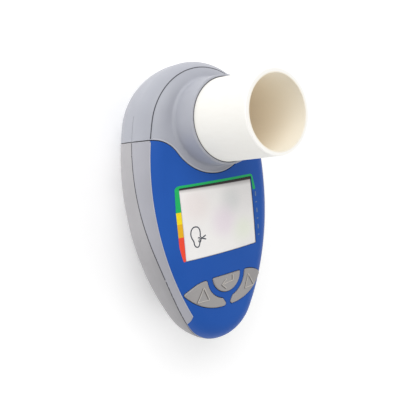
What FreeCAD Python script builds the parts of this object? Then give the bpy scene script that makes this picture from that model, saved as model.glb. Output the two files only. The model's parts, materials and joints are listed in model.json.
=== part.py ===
import FreeCAD, Part
import math
import os
from functools import lru_cache

from FreeCAD import Vector

# A hand-held lung function monitor, lying on its flat back.
# X runs across it, Y along it towards the head, and Z up out of its front face.
# Sizes are in millimetres. A drop is measured from the flow axis towards the tail,
# and a depth from the middle of the front face towards the back. A rise is measured from
# the tail's end towards the head.

# body form
body_length = 112.8
body_depth = 38.6
head_radius = 28.3
tail_radius = 19.0
flank_radius = 110.6
girth_height = 24.8
crown_radius = 118.0
tail_fall_radius = 400.0
tail_fall_drop = 28.6
shoulder_radius = 9.3
flow_rise = 4.2

# walls and parting lines
wall = 2.0
seam_wall = 1.6
seam_gap = 0.3
seam_drop = 4.3
tongue_radius = 19.5
bend_radius = 12.0
edge_inset = 3.0
seat_depth = 6.5
parting_drops = ((-6.0, 12.7), (18.0, 11.4), (37.0, 9.2))
parting_rises = ((31.7, 7.4), (10.7, 9.0), (-3.3, 10.6))
chin_rise = 18.4
chin_depth = 12.6
chin_radius = 8.3
reach = 80.0

# collar and mouthpiece
collar_height = 9.4
collar_radius = 16.6
collar_draft = 0.3
collar_rim_edge = 0.35
collar_foot_round = 1.4
skirt_depth = 6.4
mouth_height = 35.4
mouth_bore_radius = 13.1
mouth_wall = 1.2
mouth_root_radius = 15.5
mouth_clearance = 0.08
mouth_seat_depth = 3.0
lip_edge = 0.4

# flow head
tube_bore_radius = 12.7
tube_wall = 1.5
tube_flange = 1.2
outlet_depth = 34.0
outlet_step = 0.5
outlet_wall = 1.2
outlet_socket = 3.0
seal_depth = 5.2
seal_height = 1.0
grille_thickness = 1.8
grille_rim = 1.3
grille_bar = 1.0
grille_bars = 8
stator_front_depth = 6.0
stator_height = 5.5
stator_rim = 0.9
stator_hub_radius = 3.2
stator_nose = 1.2
stator_vanes = 6
stator_vane_thickness = 0.9
stator_pitch = 34.0
stator_rear_depth = 25.0
bearing_radius = 1.7
bearing_height = 2.4
bearing_floor = 0.7
shaft_radius = 0.6
running_clearance = 0.05
end_play = 0.1
rotor_span = 23.4
rotor_height = 9.0
rotor_thickness = 0.5
rotor_hub_radius = 1.3

# guide lugs of the head in the body
lug_x = 25.0
lug_width = 3.2
lug_height = 6.0
lug_length = 6.0
lug_z = 20.0
lug_clearance = 0.2

# display
window_half_width = 18.05
window_top_drop = 23.3
window_to_keys = 9.0
window_corner = 0.6
lens_depth = 2.2
lens_clearance = 0.12
lcd_top_depth = 4.5
lcd_thickness = 2.2
lcd_border_x = 2.2
lcd_border_y = 0.8
lcd_clearance = 0.1
holder_wall = 0.9
holder_ledge = 1.2
strip_width = 1.4

# keys
key_line_rise = 28.4
key_proud = 0.5
key_clearance = 0.25
key_travel = 0.8
key_spare = 0.05
key_rim_edge = 0.3
enter_radius = 6.95
enter_corner = 0.5
side_key_gap = 2.65
side_key_corner = 0.9
side_key_points = ((9.6, 0.2), (2.6, 9.24), (0.6, 12.5), (10.9, 10.8), (19.6, 4.0), (14.6, 1.1))
key_flange = 0.9
key_flange_gap = 0.15
key_flange_depth = 6.5
key_stem_radius = 1.6
enter_stem = (0.0, 3.0)
side_stem = (12.2, 5.7)
dome_radius = 2.8
dome_height = 0.8

# board and what it carries
board_depth = 9.0
board_thickness = 1.6
board_inset = 3.2
board_clearance = 0.6
chip_size = 9.0
chip_height = 1.4
chip_drop = 38.0
buzzer_radius = 6.0
buzzer_height = 3.2
buzzer_rise = 27.7
crystal_size = (3.2, 8.0, 1.6)
crystal_x = 11.0
sensor_radius = 1.5
sensor_clearance = 0.05
sensor_x = 6.0
sensor_flange = 0.6
sensor_flange_thickness = 0.8
sensor_length = 4.8
sensor_leg_radius = 0.25
sensor_leg_pitch = 1.3

# screws and bosses
boss_radius = 2.6
rear_boss_radius = 3.3
pilot_radius = 0.9
screw_hole_radius = 1.2
screw_radius = 0.9
screw_bite = 4.0
screw_head_radius = 2.0
screw_head_height = 1.4
screw_slot = 0.5
counterbore_radius = 2.3
counterbore_depth = 24.0
head_joint_depth = 12.0
shoulder_screw_x = 24.2
shoulder_screw_drop = 20.0
head_screw_places = ((19.6, -8.0), (-19.6, -8.0))

# battery bay and door
cell_radius = 5.2
cell_length = 43.7
cell_nub_radius = 1.9
cell_nub_length = 0.8
cell_edge = 0.4
cell_pitch = 10.6
cell_depth = 29.5
bay_top_drop = 23.4
bay_clearance = 0.35
bay_wall = 1.2
bay_skin = 1.2
contact_width = 6.0
contact_height = 7.0
contact_thickness = 0.4
contact_spring = 1.2
contact_strip = 0.3
door_depth = 33.6
door_gap = 0.2
deck_thickness = 1.4
tab_width = 10.0
tab_length = 2.6
tab_thickness = 1.2
tab_root = 4.0
grip_count = 5
grip_pitch = 2.6
grip_width = 1.2
grip_depth = 0.5
grip_half_length = 8.0
grip_drop = 33.0

# places worked out from the sizes
head_y = body_length / 2 - head_radius
tail_y = tail_radius - body_length / 2
flow_y = head_y + flow_rise
to_head = flank_radius - head_radius
to_tail = flank_radius - tail_radius
span = head_y - tail_y
tail_drop = flow_y + body_length / 2
chin_drop = tail_drop - chin_rise
key_line_drop = tail_drop - key_line_rise
window_bottom_drop = key_line_drop - window_to_keys
parting_points = parting_drops + tuple((tail_drop - rise, depth) for rise, depth in parting_rises)
flank_fall = (to_head ** 2 - to_tail ** 2 + span ** 2) / (2 * span)
flank_x = math.sqrt(to_head ** 2 - flank_fall ** 2)
flank_y = head_y - flank_fall
head_angle = math.asin(flank_fall / to_head)
tail_angle = -math.asin((span - flank_fall) / to_tail)
bend_x = math.sqrt((tongue_radius + bend_radius) ** 2 - (seam_drop + bend_radius) ** 2)
bend_y = flow_y - seam_drop - bend_radius
tube_outer_radius = tube_bore_radius + tube_wall
socket_radius = mouth_root_radius + mouth_clearance
outlet_radius = tube_bore_radius + outlet_step
stator_front_end = stator_front_depth + stator_height
rotor_depth = (stator_front_end + stator_rear_depth) / 2
saddle_radius = tongue_radius + seam_gap
board_back = board_depth + board_thickness
bay_half = cell_pitch / 2 + cell_radius + bay_clearance
bay_roof_depth = cell_depth - cell_radius - bay_clearance
bay_low_drop = bay_top_drop + cell_length + cell_nub_length + contact_spring + 2 * contact_thickness
tail_screw_drop = (bay_low_drop + bay_wall + tail_drop - wall) / 2
body_screw_places = ((shoulder_screw_x, shoulder_screw_drop),
                     (-shoulder_screw_x, shoulder_screw_drop), (0.0, tail_screw_drop))


def at(x, drop, depth):
    return Vector(x, flow_y - drop, body_depth - depth)


def polar(cx, cy, radius, angle, z=0.0):
    return Vector(cx + radius * math.cos(angle), cy + radius * math.sin(angle), z)


def arc(start, middle, end):
    return Part.Arc(start, middle, end).toShape()


def line(start, end):
    return Part.LineSegment(start, end).toShape()


def face_of(edges):
    return Part.Face(Part.Wire(edges))


def raised(flat, low, high):
    copy = flat.copy()
    copy.translate(Vector(0, 0, low))
    return copy.extrude(Vector(0, 0, high - low))


def block(x0, x1, y0, y1, z0, z1):
    return Part.makeBox(x1 - x0, y1 - y0, z1 - z0, Vector(x0, y0, z0))


def pad(half_x, top_drop, bottom_drop, top_depth, bottom_depth):
    low = at(-half_x, bottom_drop, bottom_depth)
    return Part.makeBox(2 * half_x, bottom_drop - top_drop, bottom_depth - top_depth, low)


def rod(x, drop, radius, top_depth, bottom_depth):
    return Part.makeCylinder(radius, bottom_depth - top_depth, at(x, drop, bottom_depth))


def flow_rod(radius, top_depth, bottom_depth):
    return rod(0, 0, radius, top_depth, bottom_depth)


def turned(points):
    # a closed outline of (radius, depth) corners turned round the flow axis
    corners = [at(radius, 0, depth) for radius, depth in points]
    outline = Part.makePolygon(corners + corners[:1])
    return Part.Face(outline).revolve(at(0, 0, 0), Vector(0, 0, 1), 360)


def joined(first, *others):
    result = first
    for other in others:
        result = result.fuse(other)
    return result.removeSplitter()


def mirrored(shape):
    return shape.mirror(Vector(0, 0, 0), Vector(1, 0, 0))


# body form

def outline_face(inset):
    # the egg-shaped plan: a head arc, a tail arc and two flank arcs that run into them
    head = head_radius - inset
    tail = tail_radius - inset
    flank = flank_radius - inset
    middle = (head_angle + tail_angle) / 2
    right_top = polar(0, head_y, head, head_angle)
    right_low = polar(0, tail_y, tail, tail_angle)
    right_mid = polar(-flank_x, flank_y, flank, middle)
    left_top, left_low, left_mid = [Vector(-p.x, p.y, 0) for p in (right_top, right_low, right_mid)]
    return face_of([
        arc(right_top, Vector(0, head_y + head, 0), left_top),
        arc(left_top, left_mid, left_low),
        arc(left_low, Vector(0, tail_y - tail, 0), right_low),
        arc(right_low, right_mid, right_top),
    ])


def back_sector(cx, cy, radius, inner, start, end, inset):
    # one stretch of the curved back, turned round the centre of its outline arc
    curve = head_radius - inset
    centre = radius - head_radius
    slope = math.asin((girth_height - inset) / curve)
    foot = centre + curve * math.cos(slope)
    half = centre + curve * math.cos(slope / 2)
    a = Vector(inner, 0, inset)
    b = Vector(foot, 0, inset)
    m = Vector(half, 0, girth_height - curve * math.sin(slope / 2))
    c = Vector(centre + curve, 0, girth_height)
    d = Vector(inner, 0, girth_height)
    flat = face_of([line(a, b), arc(b, m, c), line(c, d), line(d, a)])
    flat.rotate(Vector(0, 0, 0), Vector(0, 0, 1), math.degrees(start))
    flat.translate(Vector(cx, cy, 0))
    return flat.revolve(Vector(cx, cy, 0), Vector(0, 0, 1), math.degrees(end - start))


def back_form(inset):
    head = back_sector(0, head_y, head_radius, 0, head_angle, math.pi - head_angle, inset)
    tail = back_sector(0, tail_y, tail_radius, 0, -math.pi - tail_angle, tail_angle, inset)
    right = back_sector(-flank_x, flank_y, flank_radius, flank_x / 2, tail_angle, head_angle, inset)
    right = right.common(block(0, reach, -reach, reach, -reach, reach))
    return joined(head, right, tail, mirrored(right))


def under_crown(inset):
    # everything below the domed front face
    radius = crown_radius - inset
    top = body_depth - inset
    half = reach / 2
    lift = body_depth - crown_radius
    base = girth_height - shoulder_radius
    side_z = lift + math.sqrt(radius ** 2 - half ** 2)
    dome_y = polar(0, head_y, head_radius, head_angle).y
    fall_y = flow_y - tail_fall_drop

    def section(y, left):
        start = Vector(left, y, lift + math.sqrt(radius ** 2 - left ** 2))
        bow_x = (left + half) / 2
        bow = Vector(bow_x, y, lift + math.sqrt(radius ** 2 - bow_x ** 2))
        end = Vector(half, y, side_z)
        low_end = Vector(half, y, base)
        low_start = Vector(left, y, base)
        return face_of([arc(start, bow, end), line(end, low_end), line(low_end, low_start),
                        line(low_start, start)])

    middle = section(fall_y, -half).extrude(Vector(0, dome_y - fall_y, 0))
    dome = section(dome_y, 0).revolve(Vector(0, dome_y, top), Vector(0, 0, 1), 180)
    hinge = Vector(0, fall_y, body_depth - tail_fall_radius)
    angle = math.degrees(math.asin((fall_y + body_length / 2 + wall) / tail_fall_radius))
    tail = section(fall_y, -half).revolve(hinge, Vector(1, 0, 0), angle)
    return joined(middle, dome, tail)


def front_form(inset):
    block_form = raised(outline_face(inset), girth_height, body_depth + 1)
    crowned = block_form.common(under_crown(inset))
    upright = [f for f in crowned.Faces if abs(f.normalAt(*middle_of(f)).z) < 0.01]
    rim = []
    for face in upright:
        for edge in face.Edges:
            low = edge.BoundBox.ZMin
            if low > girth_height + 0.1:
                rim.append(edge)
    return crowned.makeFillet(shoulder_radius - inset, rim)


def middle_of(face):
    u0, u1, v0, v1 = face.ParameterRange
    return (u0 + u1) / 2, (v0 + v1) / 2


@lru_cache(maxsize=None)
def pebble(inset):
    return joined(back_form(inset), front_form(inset))


def seam_space(shift, to_head_side):
    # the space on one side of the S-shaped seam between head and body
    radius = tongue_radius + shift
    bend = bend_radius - shift
    level = flow_y - seam_drop - shift
    far = reach if to_head_side else -reach
    lean = math.atan2(seam_drop + bend_radius, bend_x)
    join = polar(0, flow_y, radius, -lean)
    top = Vector(bend_x, level, 0)
    half_turn = (math.pi / 2 + math.pi - lean) / 2
    bow = polar(bend_x, bend_y, bend, half_turn)
    flip = [Vector(-p.x, p.y, 0) for p in (join, top, bow)]
    right = Vector(reach, level, 0)
    left = Vector(-reach, level, 0)
    far_right = Vector(reach, far, 0)
    far_left = Vector(-reach, far, 0)
    flat = face_of([
        line(left, flip[1]), arc(flip[1], flip[2], flip[0]),
        arc(flip[0], Vector(0, flow_y - radius, 0), join),
        arc(join, bow, top), line(top, right),
        line(right, far_right), line(far_right, far_left), line(far_left, left),
    ])
    return raised(flat, -reach, reach)


def above_parting():
    # everything in front of the line where the middle frame meets the rear shell
    curve = Part.BSplineCurve()
    curve.interpolate([at(-reach, drop, depth) for drop, depth in parting_points])
    first = curve.StartPoint
    last = curve.EndPoint
    up = Vector(0, 0, reach)
    flat = face_of([curve.toShape(), line(last, last + up), line(last + up, first + up),
                    line(first + up, first)])
    return flat.extrude(Vector(2 * reach, 0, 0))


def edge_core(low_depth):
    return raised(outline_face(edge_inset), body_depth - low_depth, body_depth + 1)


def band_side():
    # the side view of the middle frame's band, which ends in a rounded tip near the tail
    tip = Part.makeCylinder(chin_radius, 2 * reach, at(-reach, chin_drop, chin_depth), Vector(1, 0, 0))
    stretch = block(-reach, reach, flow_y - chin_drop, reach, -reach, reach)
    return stretch.fuse(tip)


# keys

def rounded(flat, radius, grow):
    # the outline with its corners rounded, then grown all round
    return flat.makeOffset2D(-radius).makeOffset2D(radius + grow)


def enter_outline(grow):
    left = at(-enter_radius, key_line_drop, body_depth)
    right = at(enter_radius, key_line_drop, body_depth)
    low = at(0, key_line_drop + enter_radius, body_depth)
    return rounded(face_of([line(right, left), arc(left, low, right)]), enter_corner, grow)


def side_outline(grow):
    inner = enter_radius + side_key_gap
    bow = inner * math.sin(math.pi / 4)
    first, foot, low, belly, tip, brow = [at(x, key_line_drop + fall, body_depth)
                                          for x, fall in side_key_points]
    flat = face_of([arc(first, at(bow, key_line_drop + bow, body_depth), foot), line(foot, low),
                    arc(low, belly, tip), arc(tip, brow, first)])
    return rounded(flat, side_key_corner, grow)


# the flow head's parts

def head_shell():
    outer = pebble(0).common(seam_space(0, True))
    hollow = pebble(wall).common(seam_space(-seam_wall, True))
    return outer.cut(hollow)


def make_collar():
    root = collar_radius + collar_draft
    ring = turned([(socket_radius, skirt_depth), (root, skirt_depth), (root, 2 * wall),
                   (collar_radius, -collar_height), (socket_radius, -collar_height)])
    rim = [e for e in ring.Edges if e.BoundBox.ZMin > body_depth + collar_height - 0.01
           and e.BoundBox.XMax > socket_radius + 0.5]
    return ring.makeChamfer(collar_rim_edge, rim)


def is_collar_foot(edge):
    root = collar_radius + collar_draft
    near_front = abs((edge.BoundBox.ZMin + edge.BoundBox.ZMax) / 2 - body_depth) < wall
    radii = [math.hypot(v.X, v.Y - flow_y) for v in edge.Vertexes]
    middle = edge.valueAt((edge.FirstParameter + edge.LastParameter) / 2)
    radii.append(math.hypot(middle.x, middle.y - flow_y))
    return near_front and edge.BoundBox.ZMin > body_depth - wall and all(
        abs(r - root) < 0.2 for r in radii)


def cover_bosses(places, low_depth):
    posts = [rod(x, drop, boss_radius, 0, low_depth) for x, drop in places]
    return [post.common(pebble(wall / 2)) for post in posts]


def cover_pilots(places, low_depth):
    return [rod(x, drop, pilot_radius, low_depth - screw_bite - wall / 4, low_depth + 1)
            for x, drop in places]


def rear_bosses(places, high_depth):
    posts = [rod(x, drop, rear_boss_radius, high_depth, body_depth) for x, drop in places]
    return [post.common(pebble(wall / 2)) for post in posts]


def rear_screw_holes(places, high_depth):
    holes = []
    for x, drop in places:
        holes.append(rod(x, drop, counterbore_radius, counterbore_depth, body_depth + 1))
        holes.append(rod(x, drop, screw_hole_radius, high_depth - 1, body_depth))
    return holes


def make_screws(places, high_depth):
    screws = []
    for x, drop in places:
        shank = rod(x, drop, screw_radius, high_depth - screw_bite, counterbore_depth)
        head = rod(x, drop, screw_head_radius, counterbore_depth, counterbore_depth + screw_head_height)
        foot = counterbore_depth + screw_head_height
        for half_x, half_y in ((screw_head_radius * 0.7, screw_slot / 2),
                               (screw_slot / 2, screw_head_radius * 0.7)):
            low = at(x - half_x, drop + half_y, foot)
            head = head.cut(Part.makeBox(2 * half_x, 2 * half_y, screw_slot, low))
        screws.append(shank.fuse(head))
    return Part.makeCompound(screws)


def make_head_parts():
    shell = head_shell()
    core = edge_core(seat_depth)
    rear = shell.cut(core)
    sleeve = flow_rod(tube_outer_radius + outlet_wall, outlet_depth - outlet_socket, body_depth)
    rear = joined(rear, sleeve.common(pebble(0)), *rear_bosses(head_screw_places, head_joint_depth))
    rear = rear.cut(flow_rod(outlet_radius, 0, body_depth + 1))
    rear = rear.cut(flow_rod(tube_outer_radius, 0, outlet_depth))
    for hole in rear_screw_holes(head_screw_places, head_joint_depth):
        rear = rear.cut(hole)
    for hole in sensor_rods(sensor_radius, tongue_radius - 2 * seam_wall, tongue_radius + 1):
        rear = rear.cut(hole)
    rear = joined(rear, *head_lugs(0))
    cover = shell.common(core)
    cover = joined(cover, make_collar())
    cover = cover.makeFillet(collar_foot_round, [e for e in cover.Edges if is_collar_foot(e)])
    cover = cover.cut(flow_rod(socket_radius, -collar_height - 1, skirt_depth + 1))
    cover = joined(cover, *cover_bosses(head_screw_places, head_joint_depth))
    for pilot in cover_pilots(head_screw_places, head_joint_depth):
        cover = cover.cut(pilot)
    return cover.cut(rear), rear


def head_lugs(grow):
    lugs = []
    for side in (-1, 1):
        low_y = flow_y - seam_drop - lug_length - grow
        lug = Part.makeBox(lug_width + 2 * grow, lug_length + grow + seam_wall / 2, lug_height + 2 * grow,
                           Vector(side * lug_x - lug_width / 2 - grow, low_y,
                                  lug_z - lug_height / 2 - grow))
        lugs.append(lug)
    return lugs


def sensor_rods(radius, start, end):
    # rods that point at the flow axis, one each side of the centre line
    rods = []
    for side in (-1, 1):
        fall = math.sqrt(tongue_radius ** 2 - sensor_x ** 2)
        aim = Vector(side * sensor_x, -fall, 0)
        aim.normalize()
        rods.append(Part.makeCylinder(radius, end - start, at(0, 0, rotor_depth) + aim * start, aim))
    return rods


def make_flow_tube():
    flange = mouth_root_radius
    return turned([(tube_bore_radius, mouth_seat_depth), (flange, mouth_seat_depth),
                   (flange, mouth_seat_depth + tube_flange),
                   (tube_outer_radius, mouth_seat_depth + tube_flange),
                   (tube_outer_radius, outlet_depth), (tube_bore_radius, outlet_depth)])


def stator_vane(inner_rim, top_depth, pitch):
    # a flat plate from hub to rim, pitched about its own radial line
    root = stator_hub_radius - stator_rim / 3
    low_depth = top_depth + stator_height
    tall = stator_height / math.cos(math.radians(pitch)) + stator_vane_thickness
    plate = Part.makeBox(inner_rim + stator_rim / 3 - root, stator_vane_thickness, tall,
                         Vector(root, -stator_vane_thickness / 2, -tall / 2))
    plate.rotate(Vector(0, 0, 0), Vector(1, 0, 0), pitch)
    plate.translate(at(0, 0, (top_depth + low_depth) / 2))
    return plate.common(flow_rod(inner_rim + stator_rim / 2, top_depth, low_depth))


def make_stator(top_depth, bearing_at_top):
    # hub and rim joined by swirl vanes, which lean the other way on the far side of the rotor
    low_depth = top_depth + stator_height
    inner_rim = tube_bore_radius - stator_rim
    rim = flow_rod(tube_bore_radius, top_depth, low_depth)
    rim = rim.cut(flow_rod(inner_rim, top_depth - 1, low_depth + 1))
    nose = stator_nose if bearing_at_top else -stator_nose
    far = low_depth if bearing_at_top else top_depth
    near = top_depth if bearing_at_top else low_depth
    hub = turned([(0, near), (stator_hub_radius, near), (stator_hub_radius, far),
                  (stator_hub_radius - stator_nose, far + nose), (0, far + nose)])
    vane = stator_vane(inner_rim, top_depth, stator_pitch if bearing_at_top else -stator_pitch)
    vanes = []
    for index in range(stator_vanes):
        turned_vane = vane.copy()
        turned_vane.rotate(at(0, 0, 0), Vector(0, 0, 1), index * 360 / stator_vanes)
        vanes.append(turned_vane)
    stator = joined(rim, hub, *vanes)
    pocket_top = top_depth if bearing_at_top else low_depth - bearing_height
    return stator.cut(flow_rod(bearing_radius, pocket_top, pocket_top + bearing_height))


def make_bearing(top_depth, opens_up):
    low_depth = top_depth + bearing_height
    cup = flow_rod(bearing_radius, top_depth, low_depth)
    bore = shaft_radius + running_clearance
    if opens_up:
        return cup.cut(flow_rod(bore, top_depth - 1, low_depth - bearing_floor))
    return cup.cut(flow_rod(bore, top_depth + bearing_floor, low_depth + 1))


def make_rotor():
    half = rotor_height / 2
    hub = flow_rod(rotor_hub_radius, rotor_depth - half, rotor_depth + half)
    plate = pad(rotor_span / 2, -rotor_thickness / 2, rotor_thickness / 2,
                rotor_depth - half, rotor_depth + half)
    start = stator_front_end - bearing_height + bearing_floor + end_play
    end = stator_rear_depth + bearing_height - bearing_floor - end_play
    shaft = flow_rod(shaft_radius, start, end)
    return joined(hub, plate).cut(shaft), shaft


def make_grille():
    low_depth = outlet_depth + grille_thickness
    disc = flow_rod(outlet_radius, outlet_depth, low_depth)
    open_ring = flow_rod(outlet_radius - grille_rim, outlet_depth - 1, low_depth + 1)
    open_ring = open_ring.cut(flow_rod(2 * grille_rim, outlet_depth - 1, low_depth + 1))
    for index in range(grille_bars // 2):
        bar = pad(outlet_radius, -grille_bar / 2, grille_bar / 2, outlet_depth - 1, low_depth + 1)
        bar.rotate(at(0, 0, 0), Vector(0, 0, 1), index * 360 / grille_bars)
        open_ring = open_ring.cut(bar)
    return disc.cut(open_ring)


def make_seal():
    top = seal_depth - seal_height / 2
    ring = flow_rod(socket_radius, top, top + seal_height)
    return ring.cut(flow_rod(tube_outer_radius, top - 1, top + seal_height + 1))


def make_mouthpiece():
    low = mouth_seat_depth - end_play
    tip = mouth_bore_radius + mouth_wall
    tube = turned([(mouth_bore_radius, low), (mouth_root_radius, low),
                   (mouth_root_radius, -collar_height), (tip, -mouth_height),
                   (mouth_bore_radius, -mouth_height)])
    lip = [e for e in tube.Edges if e.BoundBox.ZMin > body_depth + mouth_height - 0.01]
    return tube.makeChamfer(lip_edge, lip)


# the body's parts

def body_shell():
    outer = pebble(0).common(seam_space(seam_gap, False))
    hollow = pebble(wall).common(seam_space(seam_gap + seam_wall, False))
    return outer.cut(hollow)


def key_openings():
    low = body_depth - 2 * seat_depth
    side = raised(side_outline(key_clearance), low, body_depth + wall)
    return raised(enter_outline(key_clearance), low, body_depth + wall), side, mirrored(side)


def make_fascia(upper, band):
    fascia = joined(upper.cut(band), *cover_bosses(body_screw_places, board_depth))
    window = pad(window_half_width, window_top_drop, window_bottom_drop, -2 * wall, 2 * seat_depth)
    window = window.makeFillet(window_corner, upright_edges(window))
    fascia = fascia.cut(window)
    for pilot in cover_pilots(body_screw_places, board_depth):
        fascia = fascia.cut(pilot)
    return fascia


def upright_edges(solid):
    return [e for e in solid.Edges if e.BoundBox.ZLength > 0.5 and e.BoundBox.XLength < 0.01
            and e.BoundBox.YLength < 0.01]


def make_rear_shell(lower):
    half = reach / 2
    inner = pebble(wall / 2).common(seam_space(seam_gap + seam_wall / 2, False))
    deck = pad(half, bay_top_drop, tail_drop, door_depth - deck_thickness, door_depth)
    end_wall = pad(half, bay_top_drop - bay_wall, bay_top_drop, door_depth - deck_thickness, body_depth)
    bay_box = pad(bay_half + bay_wall, bay_top_drop - bay_wall, bay_low_drop + bay_wall,
                  bay_roof_depth - bay_wall, door_depth)
    shell = joined(lower, deck.common(inner), end_wall.common(inner), bay_box.common(inner),
                   *rear_bosses(body_screw_places, board_back))
    shell = shell.cut(pad(half, bay_top_drop, tail_drop + wall, door_depth, body_depth + 1))
    bay = pad(bay_half, bay_top_drop, bay_low_drop, bay_roof_depth, body_depth + 1)
    shell = shell.cut(bay.common(pebble(bay_skin)))
    for hole in rear_screw_holes(body_screw_places, board_back):
        shell = shell.cut(hole)
    for hole in sensor_rods(sensor_radius + sensor_clearance, tongue_radius, saddle_radius + 2 * seam_wall):
        shell = shell.cut(hole)
    for slot in head_lugs(lug_clearance):
        shell = shell.cut(slot)
    slot = pad(tab_width / 2 + door_gap, bay_top_drop - tab_length - door_gap, bay_top_drop + 1,
               body_depth - wall - door_gap - tab_thickness - door_gap, body_depth - wall)
    return shell.cut(slot)


def make_door():
    top = door_depth + door_gap
    outer = pebble(0).common(pad(reach / 2, bay_top_drop + door_gap, tail_drop + wall, top,
                                 body_depth + 1))
    door = outer.cut(pebble(wall))
    tab_top = body_depth - wall - door_gap - tab_thickness
    root = pad(tab_width / 2, bay_top_drop + door_gap, bay_top_drop + tab_root, tab_top,
               body_depth - wall / 2)
    tab = pad(tab_width / 2, bay_top_drop - tab_length, bay_top_drop + tab_root, tab_top,
              tab_top + tab_thickness)
    door = joined(door, root, tab)
    for index in range(grip_count):
        drop = grip_drop + index * grip_pitch
        door = door.cut(pad(grip_half_length, drop, drop + grip_width, body_depth - grip_depth,
                            body_depth + 1))
    return door


def make_cell(side, nub_to_tail):
    length = cell_length
    can = Part.makeCylinder(cell_radius, length, Vector(0, 0, 0))
    can = can.makeChamfer(cell_edge, [e for e in can.Edges if e.BoundBox.ZLength < 0.01])
    nub = Part.makeCylinder(cell_nub_radius, cell_nub_length, Vector(0, 0, length))
    cell = can.fuse(nub)
    x = side * cell_pitch / 2
    if nub_to_tail:
        cell.rotate(Vector(0, 0, 0), Vector(1, 0, 0), 90)
        cell.translate(at(x, bay_top_drop + contact_thickness + contact_spring, cell_depth))
        return cell
    cell.rotate(Vector(0, 0, 0), Vector(1, 0, 0), -90)
    start = bay_top_drop + contact_thickness + cell_nub_length + length
    cell.translate(at(x, start, cell_depth))
    return cell


def contact_plate(side, drop):
    x = side * cell_pitch / 2
    low = at(x - contact_width / 2, drop + contact_thickness, cell_depth + contact_height / 2)
    return Part.makeBox(contact_width, contact_thickness, contact_height, low)


def spring_contact(side, drop, outward):
    # a plate with a bent leaf that reaches to the flat end of the cell
    plate = contact_plate(side, drop)
    base = drop + (contact_thickness if outward > 0 else 0)
    tip = base + outward * contact_spring
    back = tip - outward * contact_strip
    high = contact_height * 0.45
    x = (side * cell_pitch - contact_width / 2) / 2
    corners = [(base, high), (tip, 0.4), (tip, -0.4), (base + outward * 0.4, -high),
               (base + outward * 0.1, -high), (back, -0.3), (back, 0.3), (base, high - 0.8)]
    points = [at(x, d, cell_depth - z) for d, z in corners]
    leaf = Part.Face(Part.makePolygon(points + points[:1])).extrude(Vector(contact_width / 2, 0, 0))
    return plate.fuse(leaf)


def make_contacts():
    low = bay_low_drop - contact_thickness
    springs = [spring_contact(-1, bay_top_drop, 1), spring_contact(1, low, -1)]
    flats = [contact_plate(1, bay_top_drop), contact_plate(-1, low)]
    return Part.makeCompound(springs), Part.makeCompound(flats)


def make_board():
    board = raised(outline_face(board_inset), body_depth - board_back, body_depth - board_depth)
    board = board.common(seam_space(saddle_radius + seam_wall + board_clearance - tongue_radius, False))
    for x, drop in body_screw_places:
        board = board.cut(rod(x, drop, screw_hole_radius, 0, body_depth))
    return board


def make_display():
    lcd_half = window_half_width + lcd_border_x
    lcd_top = window_top_drop - lcd_border_y
    lcd_low = window_bottom_drop + 2 * lcd_border_y
    lcd_back = lcd_top_depth + lcd_thickness
    lens = pad(window_half_width - lens_clearance, window_top_drop + lens_clearance,
               window_bottom_drop - lens_clearance, lens_depth, lcd_top_depth)
    lens = lens.makeFillet(window_corner - lens_clearance, upright_edges(lens))
    lcd = pad(lcd_half, lcd_top, lcd_low, lcd_top_depth, lcd_back)
    grow = lcd_clearance
    pocket = pad(lcd_half + grow, lcd_top - grow, lcd_low + grow, lcd_top_depth, lcd_back)
    opening = pad(lcd_half - holder_ledge, lcd_top + holder_ledge, lcd_low - holder_ledge,
                  lcd_back, board_depth)
    grow = lcd_clearance + holder_wall
    holder = pad(lcd_half + grow, lcd_top - grow, lcd_low + grow, lcd_top_depth + lcd_clearance * 3,
                 board_depth)
    holder = holder.cut(pocket).cut(opening)
    strips = []
    for drop in (lcd_top + holder_ledge, lcd_low - holder_ledge - strip_width):
        strips.append(pad(window_half_width, drop, drop + strip_width, lcd_back, board_depth))
    return lens, lcd, holder, Part.makeCompound(strips)


def make_key(cap_face, flange_face, stem_x, stem_fall):
    low = body_depth - key_flange_depth
    cap = raised(cap_face, low, body_depth + wall).common(pebble(-key_proud))
    rim = [e for e in cap.Edges if e.BoundBox.ZMin > low + 1 and e.BoundBox.ZLength < 3]
    cap = cap.makeChamfer(key_rim_edge, rim)
    flange = raised(flange_face, low, body_depth).common(pebble(wall + key_flange_gap))
    stem_end = board_depth - dome_height - key_travel - key_spare
    stem = rod(stem_x, key_line_drop + stem_fall, key_stem_radius, key_flange_depth, stem_end)
    return joined(cap, flange, stem)


def make_keys():
    enter = make_key(enter_outline(0), enter_outline(key_flange), *enter_stem)
    right = make_key(side_outline(0), side_outline(key_flange), *side_stem)
    return mirrored(right), enter, right


def make_domes():
    places = (enter_stem, side_stem, (-side_stem[0], side_stem[1]))
    return Part.makeCompound([rod(x, key_line_drop + fall, dome_radius, board_depth - dome_height,
                                  board_depth) for x, fall in places])


def make_crystal():
    wide, long, tall = crystal_size
    low = at(crystal_x - wide / 2, chip_drop + long / 2, board_back + tall)
    return Part.makeBox(wide, long, tall, low)


def make_sensors():
    start = tongue_radius + seam_gap
    back = start + seam_wall + sensor_length
    flange_start = start + seam_wall + sensor_clearance * 4
    cases = sensor_rods(sensor_radius, start, back)
    flanges = sensor_rods(sensor_radius + sensor_flange, flange_start,
                          flange_start + sensor_flange_thickness)
    sensors = []
    for side, case, flange in zip((-1, 1), cases, flanges):
        lean = math.asin(sensor_x / tongue_radius)
        middle = back - sensor_radius
        legs = []
        for offset in (-sensor_leg_pitch / 2, sensor_leg_pitch / 2):
            x = side * middle * math.sin(lean) + offset
            legs.append(rod(x, middle * math.cos(lean), sensor_leg_radius, board_back, rotor_depth))
        sensors.append(joined(case, flange, *legs))
    return sensors


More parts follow.
